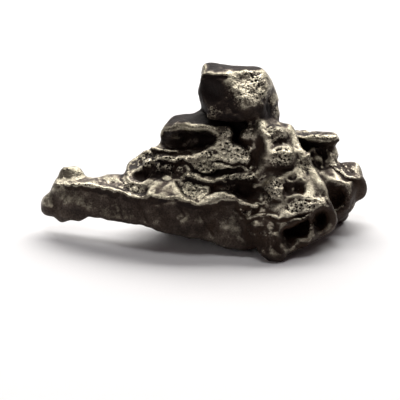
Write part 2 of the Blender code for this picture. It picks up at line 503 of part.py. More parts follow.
def thinned(mesh):
    """The same form with fewer, larger triangles."""
    count = sum(len(face.vertices) - 2 for face in mesh.polygons)
    stone = bpy.data.objects.new("full", mesh)
    bpy.context.scene.collection.objects.link(stone)
    thin = stone.modifiers.new("thin", "DECIMATE")
    thin.ratio = min(1.0, TRIANGLES / count)
    result = evaluated_mesh(stone)
    bpy.data.objects.remove(stone)
    return result


def grind_feet(mesh):
    """Cuts the three feet off level, so that the stone stands on small flat faces."""
    bm = bmesh.new()
    bm.from_mesh(mesh)
    everything = list(bm.verts) + list(bm.edges) + list(bm.faces)
    level = (0, 0, GROUND * SCALE * MM)
    bmesh.ops.bisect_plane(
        bm, geom=everything, dist=1e-6, plane_co=level, plane_no=(0, 0, 1), clear_inner=True
    )
    rims = [edge for edge in bm.edges if edge.is_boundary]
    bmesh.ops.holes_fill(bm, edges=rims)
    bmesh.ops.triangulate(bm, faces=[face for face in bm.faces if len(face.verts) > 3])
    bmesh.ops.recalc_face_normals(bm, faces=bm.faces)
    bm.to_mesh(mesh)
    bm.free()


def centre_on_table(mesh):
    """Puts the origin at the middle of the box, on the level of the feet."""
    points, _ = points_and_normals(mesh)
    low, high = points.min(axis=0), points.max(axis=0)
    middle = (low + high) / 2
    mesh.transform(Matrix.Translation((-middle[0], -middle[1], -low[2])))


def burnished_iron():
    """Nickel iron, silvery olive where it is rubbed and dark in its hollows."""
    material = bpy.data.materials.new("burnished iron")
    material.use_nodes = True
    surface = material.node_tree.nodes["Principled BSDF"]
    surface.inputs["Base Color"].default_value = (0.115, 0.105, 0.085, 1)
    surface.inputs["Metallic"].default_value = 1.0
    surface.inputs["Roughness"].default_value = 0.4
    return material


def main():
    for obj in list(bpy.data.objects):
        bpy.data.objects.remove(obj)
    mesh = build_stone()
    lean_tail(mesh)
    mesh.transform(stand_up())
    mesh = thinned(mesh)
    grind_feet(mesh)
    centre_on_table(mesh)
    mesh.name = "meteorite"
    mesh.materials.append(burnished_iron())
    mesh.shade_smooth()
    stone = bpy.data.objects.new("meteorite", mesh)
    bpy.context.scene.collection.objects.link(stone)


main()
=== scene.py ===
import json
import math

import bpy
import numpy as np
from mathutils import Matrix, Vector, noise
from mathutils.bvhtree import BVHTree

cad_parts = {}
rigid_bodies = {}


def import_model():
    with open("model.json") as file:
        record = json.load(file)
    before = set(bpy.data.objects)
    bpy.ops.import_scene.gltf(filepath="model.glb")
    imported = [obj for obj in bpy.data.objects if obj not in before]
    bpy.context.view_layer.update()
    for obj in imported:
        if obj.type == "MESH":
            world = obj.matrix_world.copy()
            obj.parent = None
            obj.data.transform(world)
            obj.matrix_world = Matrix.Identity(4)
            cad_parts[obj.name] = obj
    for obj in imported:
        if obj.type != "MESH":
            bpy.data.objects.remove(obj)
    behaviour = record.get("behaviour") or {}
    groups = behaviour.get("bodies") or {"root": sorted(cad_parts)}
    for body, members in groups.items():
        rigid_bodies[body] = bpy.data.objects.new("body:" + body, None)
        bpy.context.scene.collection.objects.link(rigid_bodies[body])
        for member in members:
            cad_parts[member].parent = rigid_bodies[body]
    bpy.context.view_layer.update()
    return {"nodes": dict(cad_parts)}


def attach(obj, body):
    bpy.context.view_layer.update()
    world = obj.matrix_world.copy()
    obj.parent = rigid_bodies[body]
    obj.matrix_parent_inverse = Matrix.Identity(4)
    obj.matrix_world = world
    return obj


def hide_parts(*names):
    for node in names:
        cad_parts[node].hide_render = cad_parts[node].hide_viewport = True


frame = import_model()
scene = bpy.context.scene

# The stone's skin: nickel iron, torn along its crystals and rubbed bright on what stands out.
# It starts as a copy of the solid, merged, then made anew in faces of 0.15 mm so that fine forms can be
# worked into it.
MM = 0.001
SKIN_VOXEL = 0.15 * MM
MERGE_WITHIN = 1e-6
SOFTEN_SHARE = 0.5
FIRST_SOFTEN_ROUNDS = 5

bpy.ops.object.select_all(action="DESELECT")
solid = frame["nodes"]["meteorite"]
stone = bpy.data.objects.new("meteorite_skin", solid.data.copy())
stone.data.materials.clear()
scene.collection.objects.link(stone)
stone.select_set(True)
bpy.context.view_layer.objects.active = stone
bpy.ops.object.mode_set(mode="EDIT")
bpy.ops.mesh.select_all(action="SELECT")
bpy.ops.mesh.remove_doubles(threshold=MERGE_WITHIN)
bpy.ops.object.mode_set(mode="OBJECT")


def soften(rounds, share):
    """Each point moved a share of the way to the middle of its neighbours, so many times over."""
    smooth = stone.modifiers.new("soften", "SMOOTH")
    smooth.iterations = rounds
    smooth.factor = share
    bpy.ops.object.modifier_apply(modifier="soften")


def drop_crumbs():
    """Takes away what isn't joined to the highest point of the stone."""
    bpy.ops.object.mode_set(mode="EDIT")
    bpy.ops.mesh.select_mode(type="VERT")
    bpy.ops.mesh.select_all(action="DESELECT")
    bpy.ops.object.mode_set(mode="OBJECT")
    highest = max(stone.data.vertices, key=lambda vertex: vertex.co.z)
    highest.select = True
    bpy.ops.object.mode_set(mode="EDIT")
    bpy.ops.mesh.select_linked()
    bpy.ops.mesh.select_all(action="INVERT")
    bpy.ops.mesh.delete(type="VERT")
    bpy.ops.object.mode_set(mode="OBJECT")


def fuse(rounds):
    """The skin made anew in even faces, its loose crumbs taken away, then softened."""
    remesh = stone.modifiers.new("fuse", "REMESH")
    remesh.mode = "VOXEL"
    remesh.voxel_size = SKIN_VOXEL
    bpy.ops.object.modifier_apply(modifier="fuse")
    drop_crumbs()
    soften(rounds, SOFTEN_SHARE)


fuse(FIRST_SOFTEN_ROUNDS)

# The frame of the front view, 20 degrees above the table: to the right, up and towards the eye, in
# millimetres of the drawing, which SCALE turns to real ones. A place in it can be given by the
# photograph's pixels, which are 0.1 mm apart, with 200 at the middle.
VIEW_ELEVATION = math.radians(20)
VIEW_ZERO = np.array((-0.372, -0.450, 3.731))
LENGTH = 32.8
DRAWN_LENGTH = 32.7
SCALE = LENGTH / DRAWN_LENGTH
RIGHT = np.array((1.0, 0.0, 0.0))
UP = np.array((0.0, math.sin(VIEW_ELEVATION), math.cos(VIEW_ELEVATION)))
NEAR = np.array((0.0, -math.cos(VIEW_ELEVATION), math.sin(VIEW_ELEVATION)))
VIEW = np.stack((RIGHT, UP, NEAR))
PICTURE_MIDDLE = 200
PIXELS_TO_MM = 10


def skin_points():
    points = np.empty(len(stone.data.vertices) * 3)
    stone.data.vertices.foreach_get("co", points)
    return points.reshape(-1, 3) / MM


def skin_normals():
    normals = np.empty(len(stone.data.vertices) * 3)
    stone.data.vertex_normals.foreach_get("vector", normals)
    return normals.reshape(-1, 3)


def place_skin(points):
    stone.data.vertices.foreach_set("co", (points * MM).reshape(-1))
    stone.data.update()


def in_view(points):
    return (points - VIEW_ZERO) @ VIEW.T / SCALE


def out_of_view(view):
    return VIEW_ZERO + view @ VIEW * SCALE


def from_pixels(path):
    return np.array([
        ((x - PICTURE_MIDDLE) / PIXELS_TO_MM, (PICTURE_MIDDLE - y) / PIXELS_TO_MM) for x, y in path
    ])


# Facets of the front: flat faces along which the crystals came apart. Each has the pixels round it, its
# middle, its depth there in millimetres, how far it comes forward in each millimetre to the right and up,
# and how firmly it is cut, up to 1.
FACING_LEAST = 0.02
SIGHT_START = 0.08
FAR_OFF = 1e9
NEARLY_NOTHING = 1e-9
STIR = 0.3
STIR_SIZE = 0.8
STIR_SHIFTS = (11.0, 17.0)
FACET_FADE = 0.3
FACETS = {
    "plate": (
        [(219, 138), (232, 141), (240, 147), (249, 155), (250, 160), (246, 163), (235, 162.5), (215, 159),
         (202, 157), (207, 150)],
        (225, 152), 2.3, 0.1, -0.85, 1.0,
    ),
    "hood corner": (
        [(214, 126), (222, 125), (232, 126), (232, 136), (226, 139), (217, 136)],
        (224, 132), 1.3, 0.1, -0.35, 0.8,
    ),
    "arm facet": (
        [(238, 137), (246, 126), (255, 118), (259, 121), (257, 130), (253, 138), (244, 140)],
        (249, 130), 1.35, 0.3, -0.55, 0.8,
    ),
    "beside the plate": (
        [(192, 156), (200, 153), (207, 151), (213, 158), (218, 161), (222, 164.5), (212, 166), (202, 165),
         (195, 161)],
        (207, 159), 2.8, 0.05, -0.6, 0.9,
    ),
    "third terrace": (
        [(178, 159), (184, 157.5), (190, 159), (195, 165), (206, 166.5), (222, 165.5), (238, 165), (251, 164),
         (252, 170), (245, 169.5), (238, 168), (226, 168.5), (216, 169.5), (211, 173.5), (203, 173.5),
         (196, 169.5), (190, 163), (183, 161.5)],
        (225, 167), 3.0, 0.05, -0.9, 0.9,
    ),
    "fourth terrace": (
        [(183, 174.5), (190, 173.5), (198, 174), (205, 177.5), (217, 180), (224, 178.5), (230, 175.5),
         (238, 174.5), (247, 174.5), (254, 172.5), (258, 175.5), (258, 179.5), (250, 180), (238, 179.5),
         (229, 180.5), (222, 183), (213, 184), (205, 183.5), (199, 181), (193, 178), (184, 178)],
        (222, 178), 3.85, 0.0, -0.9, 0.9,
    ),
    "over the wall": (
        [(145, 199), (151, 190), (158, 184), (173, 183.6), (178, 193), (184, 200), (165, 199)],
        (164, 192), 4.5, 0.05, -0.75, 0.8,
    ),
    "pitted front": (
        [(184, 199), (186, 184), (195, 178), (206, 180), (212, 190), (209, 202), (196, 204)],
        (197, 191), 4.5, 0.1, -0.6, 0.7,
    ),
    "face": (
        [(262, 188), (270, 177), (280, 176), (284, 186), (280, 200), (272, 200)],
        (273, 188), 4.7, 0.35, -0.45, 0.7,
    ),
    "brow of the big cavity": (
        [(272, 219), (290, 217), (305, 214.5), (310, 212), (309, 216), (293, 225), (281, 232), (273, 232)],
        (288, 221), 5.85, -0.05, -0.2, 1.0,
    ),
    "over both cavities": (
        [(285, 198), (300, 196), (322, 200), (327, 208), (311, 212), (296, 214), (283, 213)],
        (304, 205), 5.1, 0.0, -0.5, 0.6,
    ),
}

# Pulls bring the outline out or in and small parts of the front forward or back, the right cavity most.
# Middle in pixels, how wide, and how far to the right, up and towards the eye, all in millimetres.
PULLS = [
    (62, 220, 1.2, 0.0, -0.12, 0.0), (106, 219, 1.5, 0.0, -0.14, 0.0), (48, 196, 0.9, -0.12, 0.0, 0.0),
    (92, 214, 0.6, 0.0, 0.08, 0.0), (362, 180, 1.0, 0.1, 0.0, 0.0), (337, 136, 0.6, 0.08, 0.05, 0.0),
    (263, 148, 0.7, 0.0, 0.0, -0.25), (178, 136, 0.6, 0.0, 0.0, 0.25), (200, 146, 1.2, 0.0, 0.0, 0.4),
    (310, 152, 0.8, 0.0, 0.0, 0.3), (264, 134, 0.5, 0.0, 0.0, 0.3), (52, 186, 1.0, -0.08, 0.03, 0.0),
    (132, 162, 1.2, -0.07, 0.05, 0.0), (176, 115, 1.2, -0.06, 0.12, 0.0), (190, 112, 0.8, 0.0, 0.08, 0.0),
    (199, 82, 1.5, -0.08, 0.0, 0.0), (268, 76, 1.2, 0.07, 0.05, 0.0), (338, 142, 1.0, 0.06, 0.0, 0.0),
    (362, 165, 1.2, 0.06, 0.08, 0.0), (366, 185, 1.2, 0.07, 0.0, 0.0), (277, 137, 0.7, 0.0, 0.0, 0.45),
    (324, 219, 0.75, 0.0, 0.0, -1.0), (293, 187, 0.8, 0.0, 0.0, 0.3), (102, 178, 1.5, 0.0, 0.13, 0.0),
    (300, 182, 0.5, 0.0, 0.0, -0.3),
]
SECOND_SOFTEN_ROUNDS = 2


def skin_tree(points):
    """The skin's faces, sorted so that rays can be sent at them."""
    return BVHTree.FromPolygons([tuple(p) for p in points], [tuple(f.vertices) for f in stone.data.polygons])


def seen_from_front(points, normals):
    """1 where the eye sees the skin, 0 where something hides it or it faces away."""
    tree = skin_tree(points)
    near = Vector(NEAR)
    facing = normals @ NEAR
    seen = np.zeros(len(points))
    for index in np.flatnonzero(facing > FACING_LEAST):
        start = Vector(points[index] + normals[index] * SIGHT_START)
        if tree.ray_cast(start, near)[0] is None:
            seen[index] = 1.0
    return seen


def off_line(places, path):
    """How far each place is from a line, on which side of it, up being positive, and how far along it."""
    best = np.full(len(places), FAR_OFF)
    side = np.ones(len(places))
    along = np.zeros(len(places))
    for number, (start, end) in enumerate(zip(path, path[1:])):
        run = end - start
        share = np.clip((places - start) @ run / (run @ run), 0, 1)
        apart = places - (start + share[:, None] * run)
        distance = np.linalg.norm(apart, axis=1)
        nearer = distance < best
        best = np.where(nearer, distance, best)
        side = np.where(nearer, np.sign(run[0] * apart[:, 1] - run[1] * apart[:, 0]), side)
        along = np.where(nearer, (number + share) / (len(path) - 1), along)
    return best, side, along


def in_outline(places, corners):
    inside = np.zeros(len(places), bool)
    for start, end in zip(corners, corners[1:]):
        crosses = (start[1] > places[:, 1]) != (end[1] > places[:, 1])
        rise = end[1] - start[1] + NEARLY_NOTHING
        meets = start[0] + (places[:, 1] - start[1]) * (end[0] - start[0]) / rise
        inside ^= crosses & (places[:, 0] < meets)
    return inside


def hump(distance, middle, width):
    """1 at the middle, falling softly to nothing on both sides."""
    return np.exp(-(((distance - middle) / width) ** 2))


def clouds_of(points, size, shift=0.0):
    return np.array([noise.noise(Vector(p / size + shift)) for p in points])


def stirred_view(points):
    """The front view with its places stirred by about 0.1 mm, so that nothing drawn in it is smooth."""
    view = in_view(points)
    for axis, shift in enumerate(STIR_SHIFTS):
        view[:, axis] += STIR * clouds_of(points, STIR_SIZE, shift)
    return view


def cut_facets():
    points = skin_points()
    seen = seen_from_front(points, skin_normals())
    view = in_view(points)
    stirred = stirred_view(points)[:, :2]
    for outline, middle, depth, right, up, firm in FACETS.values():
        corners = from_pixels(outline + outline[:1])
        distance = off_line(stirred, corners)[0]
        inside = np.where(in_outline(stirred, corners), distance, -distance)
        share = seen * firm * np.clip(inside / FACET_FADE + 0.5, 0, 1)
        away = view[:, :2] - from_pixels([middle])[0]
        view[:, 2] += share * (depth + away @ (right, up) - view[:, 2])
    for x, y, width, *pull in PULLS:
        distance = np.linalg.norm(view[:, :2] - from_pixels([(x, y)])[0], axis=1)
        share = hump(distance, 0, width)
        if pull[2]:
            share *= seen
        view += share[:, None] * pull
    place_skin(out_of_view(view))


cut_facets()
fuse(SECOND_SOFTEN_ROUNDS)

# Lips: torn edges that overhang, each a rolled crest with a groove under it; over each crest a highlight is
# painted, and under it a line of shade.
# Width and height in millimetres, then the pixels that the crest passes, left to right.
CREST_AT = 0.2
GROOVE_AT = 0.5
GROOVE_WIDTH = 0.5
GROOVE_DEPTH = 0.9
LIP_END = 0.35
TAPER = 8
LIPS = {
    "wall top": (0.5, 0.12, [
        (50, 185), (65, 184.5), (75, 186), (95, 187.5), (105, 189.5), (115, 192), (127, 196), (135, 198.5),
        (142, 200), (155, 198.5), (165, 199), (175, 200), (185, 202), (195, 205), (203, 205), (212, 204),
        (220, 201.5), (228, 201), (236, 203), (241, 209), (246, 218),
    ]),
    "foot top": (0.4, 0.16, [(246, 219), (255, 218), (262, 216), (269, 217), (275, 220)]),
    "brow of the big cavity": (0.36, 0.16, [(278, 220), (290, 216.5), (300, 214), (311, 212)]),
    "step": (0.4, 0.16, [(237, 204), (244, 205), (250, 207), (260, 206)]),
    "fourth terrace": (0.45, 0.22, [
        (183, 178), (193, 178), (199, 181.5), (206, 183.5), (215, 184), (223, 182.5), (230, 180.5), (240, 180),
        (250, 180), (258, 179),
    ]),
    "second and third terraces": (0.45, 0.22, [
        (150, 161), (160, 161.5), (170, 162), (177, 161.5), (184, 160.5), (190, 163), (196, 169.5),
        (203, 173.5), (211, 173.5), (216, 170), (226, 168.5), (238, 168), (245, 170), (251, 170),
    ]),
    "plate's lower edge": (0.36, 0.18, [
        (212, 160.5), (222, 161.5), (230, 162), (238, 164), (246, 164.5), (250, 161),
    ]),
    "first terrace": (0.3, 0.2, [(150, 149.5), (160, 151), (170, 152), (178, 153), (192, 152.5)]),
    "hood edge": (0.8, 0.16, [
        (161, 137), (165, 133.5), (173, 131.5), (183, 130.5), (192, 132), (202, 133.5), (212, 135), (218, 139),
    ]),
    "shelf edge": (0.36, 0.2, [(303, 140), (315, 141.5), (327, 141.5), (339, 140)]),
    "right lump": (0.3, 0.16, [(333, 167), (340, 174), (347, 179), (356, 181)]),
    "top of the block's dish": (0.34, 0.12, [(202, 76), (212, 75.5), (224, 77.5), (229, 78)]),
}

# Ridges and grooves: width, height (below nothing for a groove), then the pixels that they pass.
# The ridges are crystal edges, the grooves are cracks between crystals.
RIDGE_END = 0.3
RIDGES = {
    "round the facet over the wall": (0.26, 0.16, [
        (151, 198), (151, 191), (155, 186), (160, 184), (167, 183), (173, 184), (176, 189), (180, 196),
        (186, 200),
    ]),
    "rise": (0.3, 0.16, [(205, 201), (213, 197), (221, 193.5), (229, 197), (236, 201)]),
    "right ridge": (0.45, 0.12, [
        (294, 141), (297, 152), (303, 163), (311, 172), (318, 182), (325, 195), (331, 208), (334, 221),
    ]),
    "wall between the cavities": (0.22, 0.14, [(311, 210), (309, 220), (309, 228), (311, 237)]),
    "block's front edge": (0.4, 0.1, [(229, 76), (233, 86), (236, 95), (243, 105), (250, 116)]),
    "left edge": (0.25, 0.12, [(127, 172), (131, 163), (139, 156), (150, 150)]),
    "beside the upper fissure": (0.3, 0.14, [(240, 139), (247, 142), (252, 150)]),
    "strut under the shelf, upright": (0.18, 0.2, [(321, 149), (321, 160), (322, 171)]),
    "strut under the shelf, down to the right": (0.2, 0.35, [(307, 143), (312, 150), (317, 158), (322, 165)]),
    "strut under the shelf, down to the left": (0.16, 0.3, [(319, 146), (312, 152), (304, 158)]),
    "strut under the shelf, at its end": (0.15, 0.25, [(326, 145), (330, 152), (331, 160)]),
    "arm ridge": (0.22, 0.1, [(256, 120), (259, 128), (262.5, 134), (265, 142), (268, 151), (268, 158)]),
    "upper fissure": (0.18, -0.14, [(250, 141), (252, 148), (254, 158), (255, 168)]),
    "over the upper boss": (0.25, 0.14, [(269, 130), (274, 128), (280, 132), (285, 139)]),
    "between the bosses": (0.2, -0.12, [(271, 143.5), (282, 142.5)]),
    "lower boss, long crack": (0.2, -0.2, [(277, 152), (289, 150)]),
    "lower boss, short crack": (0.16, -0.14, [(275, 156), (280, 156)]),
    "arm's foot": (0.25, -0.14, [(268, 170), (280, 170), (294, 168)]),
    "block, long crack": (0.3, -0.1, [(240, 80), (250, 82), (256, 76), (262, 72)]),
    "block, short crack": (0.2, -0.1, [(254, 89), (262, 85)]),
    "bar's end": (0.12, -0.03, [(66, 186), (67, 196), (62, 207), (66, 218)]),
    "bar's neck": (0.14, -0.04, [(118, 194), (119, 206), (124, 216), (122, 224)]),
    "wall, left": (0.16, -0.05, [(140, 201), (141, 209), (147, 220), (152, 226)]),
    "wall, middle": (0.16, -0.04, [(178, 203), (184, 214), (178, 226), (184, 235)]),
    "wall, right": (0.18, -0.05, [(199, 212), (207, 225), (214, 238)]),
    "foot, right crack": (0.2, -0.12, [(273, 236), (275, 245), (279, 255)]),
    "foot, upper crack": (0.16, -0.1, [(250, 226), (256, 231), (262, 229)]),
    "foot, left crack": (0.16, -0.1, [(256, 240), (262, 246), (267, 254)]),
}

# Low mounds and dips: middle and half widths in pixels, turn in degrees, height in millimetres.
# They swell the plate, the bosses, the block and the foot, and stand as crystals in the hollows.
MOUND_STEEPNESS = 1.5
MOUNDS = [
    (236, 150, 12, 8, -25, 0.08), (271, 158, 6, 8, 0, 0.12), (276, 135, 9, 6, -15, 0.2),
    (283, 158, 11, 7, 0, 0.22), (287, 190, 5, 6, 30, -0.3), (296, 186, 5, 4, 0, -0.2),
    (298, 182, 6, 5, 0, 0.3), (256, 187, 4, 3, 0, 0.3), (150, 163, 5, 4, 0, 0.25),
    (168, 168, 5, 4, 0, 0.25), (140, 170, 5, 4, 20, 0.2), (158, 170, 4, 3, 30, 0.25),
    (180, 170, 4, 3, 0, 0.2), (176, 135, 6, 6, 0, 0.2), (252, 96, 14, 12, 0, 0.1),
    (268, 104, 4, 9, 10, -0.15), (274, 101, 4, 7, 0, 0.12), (252, 232, 6, 6, 0, 0.12),
    (258, 252, 6, 5, 0, 0.12), (270, 226, 5, 5, 0, 0.12), (336, 184, 6, 4, 0, 0.12),
    (107, 184, 13, 4, 5, -0.12), (222, 190, 6, 5, 0, -0.15), (244, 191, 10, 7, 0, -0.2),
]

# Where the metal is eaten and crumbly. These and the patches below are drawn in the front view: middle and
# half widths in pixels, turn in degrees, how strong.
PATCH_REACH = 1.4
PATCH_FADE = 0.8
PITTED = [
    (234, 151, 17, 10, -25, 1.0), (225, 132, 8, 7, 0, 1.0), (195, 188, 15, 11, 0, 0.8),
    (132, 189, 14, 8, -20, 0.9), (250, 88, 18, 18, 0, 0.8), (234, 96, 12, 14, 0, 0.7),
    (215, 113, 9, 6, 0, 0.9), (274, 135, 11, 7, -15, 0.9), (281, 158, 12, 8, 0, 0.9),
    (273, 189, 8, 12, -20, 1.0), (304, 205, 22, 8, 12, 0.9), (248, 210, 8, 5, 0, 0.9),
    (147, 160, 12, 10, 30, 1.0), (168, 168, 16, 8, 0, 1.0), (204, 168, 13, 7, 0, 1.0),
    (245, 166, 9, 4, 0, 0.9), (243, 177, 17, 4, 0, 0.9), (190, 176, 9, 4, 0, 0.9),
    (306, 165, 8, 10, -40, 0.7), (248, 128, 8, 9, 0, 0.9), (320, 136, 18, 4, -5, 0.7),
    (345, 169, 12, 6, -35, 0.7), (208, 154, 12, 5, -5, 0.8), (228, 187, 12, 5, 0, 0.6),
    (105, 182, 18, 4, 0, 0.3), (70, 181, 14, 4, 0, 0.3), (262, 238, 15, 20, 0, 0.3),
    (340, 200, 14, 16, 0, 0.6), (270, 105, 8, 12, 0, 0.6), (165, 160, 30, 10, 0, 0.7),
]

# Where the skin is smoothed before the fine work, and where it is broken into lumps about 0.75 mm apart.
SMOOTHED = [
    (264, 140, 8, 22, -8, 1.0), (278, 148, 14, 16, 0, 0.9), (70, 178, 18, 7, 0, 0.9),
    (105, 182, 18, 6, 0, 0.6), (226, 146, 12, 14, 0, 0.5), (145, 205, 20, 8, 0, 0.3),
    (262, 205, 10, 8, 0, 0.8), (296, 206, 16, 6, 0, 0.5), (160, 191, 12, 6, 0, 0.4),
    (301, 146, 7, 8, 0, 1.0), (212, 199, 10, 5, 0, 0.8),
]
LUMPY = [
    (150, 166, 20, 12, 10, 1.0), (172, 166, 14, 9, 0, 1.0), (204, 170, 12, 6, -15, 0.6),
    (195, 190, 12, 10, 0, 0.7), (132, 190, 12, 6, -20, 0.6), (132, 172, 9, 12, 20, 0.8),
    (308, 160, 12, 12, 0, 0.6), (291, 186, 15, 12, 0, 1.0), (336, 200, 14, 16, 0, 0.6),
    (262, 240, 14, 18, 0, 0.6), (215, 192, 10, 8, 0, 0.5), (296, 240, 14, 8, 0, 0.5),
    (222, 132, 9, 6, 0, 0.5), (240, 190, 18, 9, 0, 0.4), (150, 155, 24, 5, 10, 0.8),
    (195, 140, 20, 10, 0, 0.4),
]

# The fine work itself, all in millimetres: what the smoothing took away is given back by FULLER, and the
# whole skin swells a little in clouds of two sizes.
CALM_ROUNDS = 24
CLOUD_SIZE = 2.2
CLOUD_SHIFT = 31.0
GRAIN_SIZE = 0.6
GRAIN_OCTAVES = 3
GRAIN_HEIGHT = 0.14
PIT_APART = 0.7
PIT_WIDTH = 0.24
PIT_DEPTH = 0.09
LUMP_APART = 0.75
LUMP_SHIFT = 3.0
LUMP_RISE = 0.7
LUMP_SINK = 0.2
LUMP_HEIGHT = 0.3
LIP_SHARE = 0.5
FULLER = 0.1
SWELLS = ((0.9, 0.05), (0.45, 0.02))
LAST_SOFTEN_SHARE = 0.3


def patches(view, shapes):
    """How strongly each place lies in any of the patches, fading out at their rims."""
    total = np.zeros(len(view))
    for x, y, wide, high, turn, strength in shapes:
        away = view[:, :2] - from_pixels([(x, y)])[0]
        angle = math.radians(turn)
        along = away[:, 0] * math.cos(angle) + away[:, 1] * math.sin(angle)
        across = -away[:, 0] * math.sin(angle) + away[:, 1] * math.cos(angle)
        radius = np.sqrt((along / (wide / PIXELS_TO_MM)) ** 2 + (across / (high / PIXELS_TO_MM)) ** 2)
        total = np.maximum(total, strength * np.clip((PATCH_REACH - radius) / PATCH_FADE, 0, 1))
    return total


def cloud_patches(clouds, steep, level):
    """Patches for the skin that the front view doesn't show, from clouds."""
    return np.clip(clouds * steep + level, 0, 1)


def where_pitted(points, view, seen):
    """1 where the metal is eaten and crumbly: by its place in front, in clouds of its own elsewhere."""
    elsewhere = cloud_patches(clouds_of(points, CLOUD_SIZE, CLOUD_SHIFT), 2.2, 0.3)
    return seen * patches(view, PITTED) + (1 - seen) * elsewhere


def crumbs(points):
    """Rough grains with pits among them."""
    from_pit = np.array([noise.voronoi(Vector(p / PIT_APART))[0][0] for p in points])
    rough = np.array([noise.turbulence(Vector(p / GRAIN_SIZE), GRAIN_OCTAVES, False) for p in points])
    return GRAIN_HEIGHT * (rough - 0.5) - PIT_DEPTH * hump(from_pit, 0, PIT_WIDTH)


def lumps(points):
    """Rounded lumps with clefts between them."""
    cells = [noise.voronoi(Vector(p / LUMP_APART + LUMP_SHIFT))[0] for p in points]
    return np.array([LUMP_RISE * (cell[1] - cell[0]) - LUMP_SINK for cell in cells])


def neighbours():
    edges = np.empty(len(stone.data.edges) * 2, np.int64)
    stone.data.edges.foreach_get("vertices", edges)
    return edges.reshape(-1, 2)


def spread_out(values, edges, rounds):
    """Each value moved halfway to the mean of its neighbours', so many times over."""
    count = np.bincount(edges.reshape(-1), minlength=len(values)).astype(float)
    for _ in range(rounds):
        total = np.zeros_like(values)
        for axis in range(values.shape[1]):
            total[:, axis] = np.bincount(edges[:, 0], values[edges[:, 1], axis], len(values))
            total[:, axis] += np.bincount(edges[:, 1], values[edges[:, 0], axis], len(values))
        values = 0.5 * values + 0.5 * total / count[:, None]
    return values


def tapered(along, end):
    """1 along a line, less towards its two ends."""
    return np.clip(np.minimum(along, 1 - along) * TAPER + end, 0, 1)


def lips_forward(view):
    """How far the lips come forward, and their grooves go back."""
    forward = np.zeros(len(view))
    for width, height, path in LIPS.values():
        distance, side, along = off_line(view[:, :2], from_pixels(path))
        crest = hump(distance, CREST_AT * width, width) * (side > 0)
        groove = -GROOVE_DEPTH * hump(distance, GROOVE_AT * width, GROOVE_WIDTH * width) * (side < 0)
        forward += height * tapered(along, LIP_END) * (crest + groove)
    return forward


def ridges_and_mounds(view):
    reach = np.zeros(len(view))
    for width, height, path in RIDGES.values():
        distance, _, along = off_line(view[:, :2], from_pixels(path))
        reach += height * tapered(along, RIDGE_END) * hump(distance, 0, width)
    for *shape, height in MOUNDS:
        reach += height * patches(view, [(*shape, 1.0)]) ** MOUND_STEEPNESS
    return reach


def work_skin():
    """Lips, ridges, mounds, lumps and crumbs, raised from the skin but never pressed into the table."""
    points = skin_points()
    normals = skin_normals()
    view = stirred_view(points)
    seen = seen_from_front(points, normals)
    calm = seen * patches(view, SMOOTHED)
    points += calm[:, None] * (spread_out(points, neighbours(), CALM_ROUNDS) - points)
    forward = lips_forward(view)
    reach = ridges_and_mounds(view)
    reach += LIP_SHARE * forward + LUMP_HEIGHT * patches(view, LUMPY) * lumps(points)
    reach *= seen
    swell = np.full(len(points), FULLER)
    for size, depth in SWELLS:
        swell = swell + clouds_of(points, size) * depth
    reach += swell
    reach += where_pitted(points, view, seen) * crumbs(points)
    moved = points + normals * reach[:, None] + NEAR * (LIP_SHARE * seen * forward)[:, None]
    moved[:, 2] = np.maximum(moved[:, 2], np.minimum(points[:, 2], 0.0))
    place_skin(moved)


work_skin()
soften(1, LAST_SOFTEN_SHARE)

# What the finish follows, stored at every point of the skin: "hollow" is how little of the sky a point sees,
# "edge" and "bulge" how far it stands out from what is close round it and from what is further off. The
# others say where the metal is pitted or rusty, where it is bright, from rubbing and from painted highlights
# and glints, and where it is dark, from oxide and from painted shade.
HOLLOW_REACH = 3.0
HOLLOW_RAYS = 16
HOLLOW_START = 0.05
GOLDEN_ANGLE = 2.399963
NEARLY_UPRIGHT = 0.9
EDGE_ROUNDS = 4
EDGE_HEIGHT = 0.02
BULGE_ROUNDS = 30
BULGE_HEIGHT = 0.12
# The painted highlight over each lip and the painted shade under it: how wide the band and the line are, and
# how strong.
LIP_BAND = 0.35
LIP_LINE = 0.15
LIP_HIGHLIGHT_PAINT = 0.7
LIP_SHADE_PAINT = 0.6
RUST_ELSEWHERE = 0.5
# Bright patches: rubbed metal and bright crystals, and painted highlights and glints, as on the bar's top, the
# terrace ledges, the right lump and inside the hollows and cavities.
BRIGHT_METAL_AND_PAINTED_HIGHLIGHTS = [
    (272, 100, 5, 6, 0, 0.7), (277, 112, 2, 7, 0, 0.7), (262, 90, 7, 12, 0, 0.5),
    (195, 190, 12, 10, 0, 2.0), (234, 151, 17, 10, -25, 1.6), (225, 132, 8, 6, 0, 1.1),
    (132, 190, 14, 7, -20, 0.6), (148, 165, 8, 6, 0, 0.5), (165, 191, 12, 7, 0, 0.2),
    (248, 88, 17, 17, 0, 0.75), (216, 73, 16, 3, -3, 0.8), (248, 72, 14, 3, -3, 0.5),
    (274, 133, 12, 8, -15, 0.8), (281, 157, 13, 9, 0, 0.7), (272, 188, 8, 11, -20, 0.8),
    (310, 204, 17, 8, 20, 0.6), (303, 164, 7, 14, -40, 0.5), (322, 136, 17, 3, -5, 0.4),
    (345, 168, 12, 6, -35, 0.2), (247, 128, 9, 9, 0, 0.8), (92, 180.5, 38, 6, -4, 0.85),
    (70, 172, 13, 6, 0, 0.7), (204, 169, 13, 5, 0, 1.3), (243, 177.5, 17, 3, 0, 1.5),
    (337, 184.5, 5, 2, 0, 1.0), (190, 128.5, 27, 5, -3, 1.0), (214, 113, 8, 6, 0, 0.5),
    (214, 199, 20, 5, 5, 0.6), (230, 167, 22, 2.5, 0, 1.4), (302, 241.5, 3, 1.5, 0, 1.0),
    (315, 152, 4, 12, 35, 0.6), (258, 122, 5, 5, 0, 0.7), (310, 200, 6, 24, 30, 0.3),
    (190, 176, 9, 3, 0, 1.0), (206, 160, 11, 6, -20, 0.9), (186, 140, 17, 7, 0, 0.6),
    (250, 186, 8, 5, -20, 0.4), (315, 214, 6, 11, 0, 0.4), (184, 160, 8, 3, 0, 0.6),
]
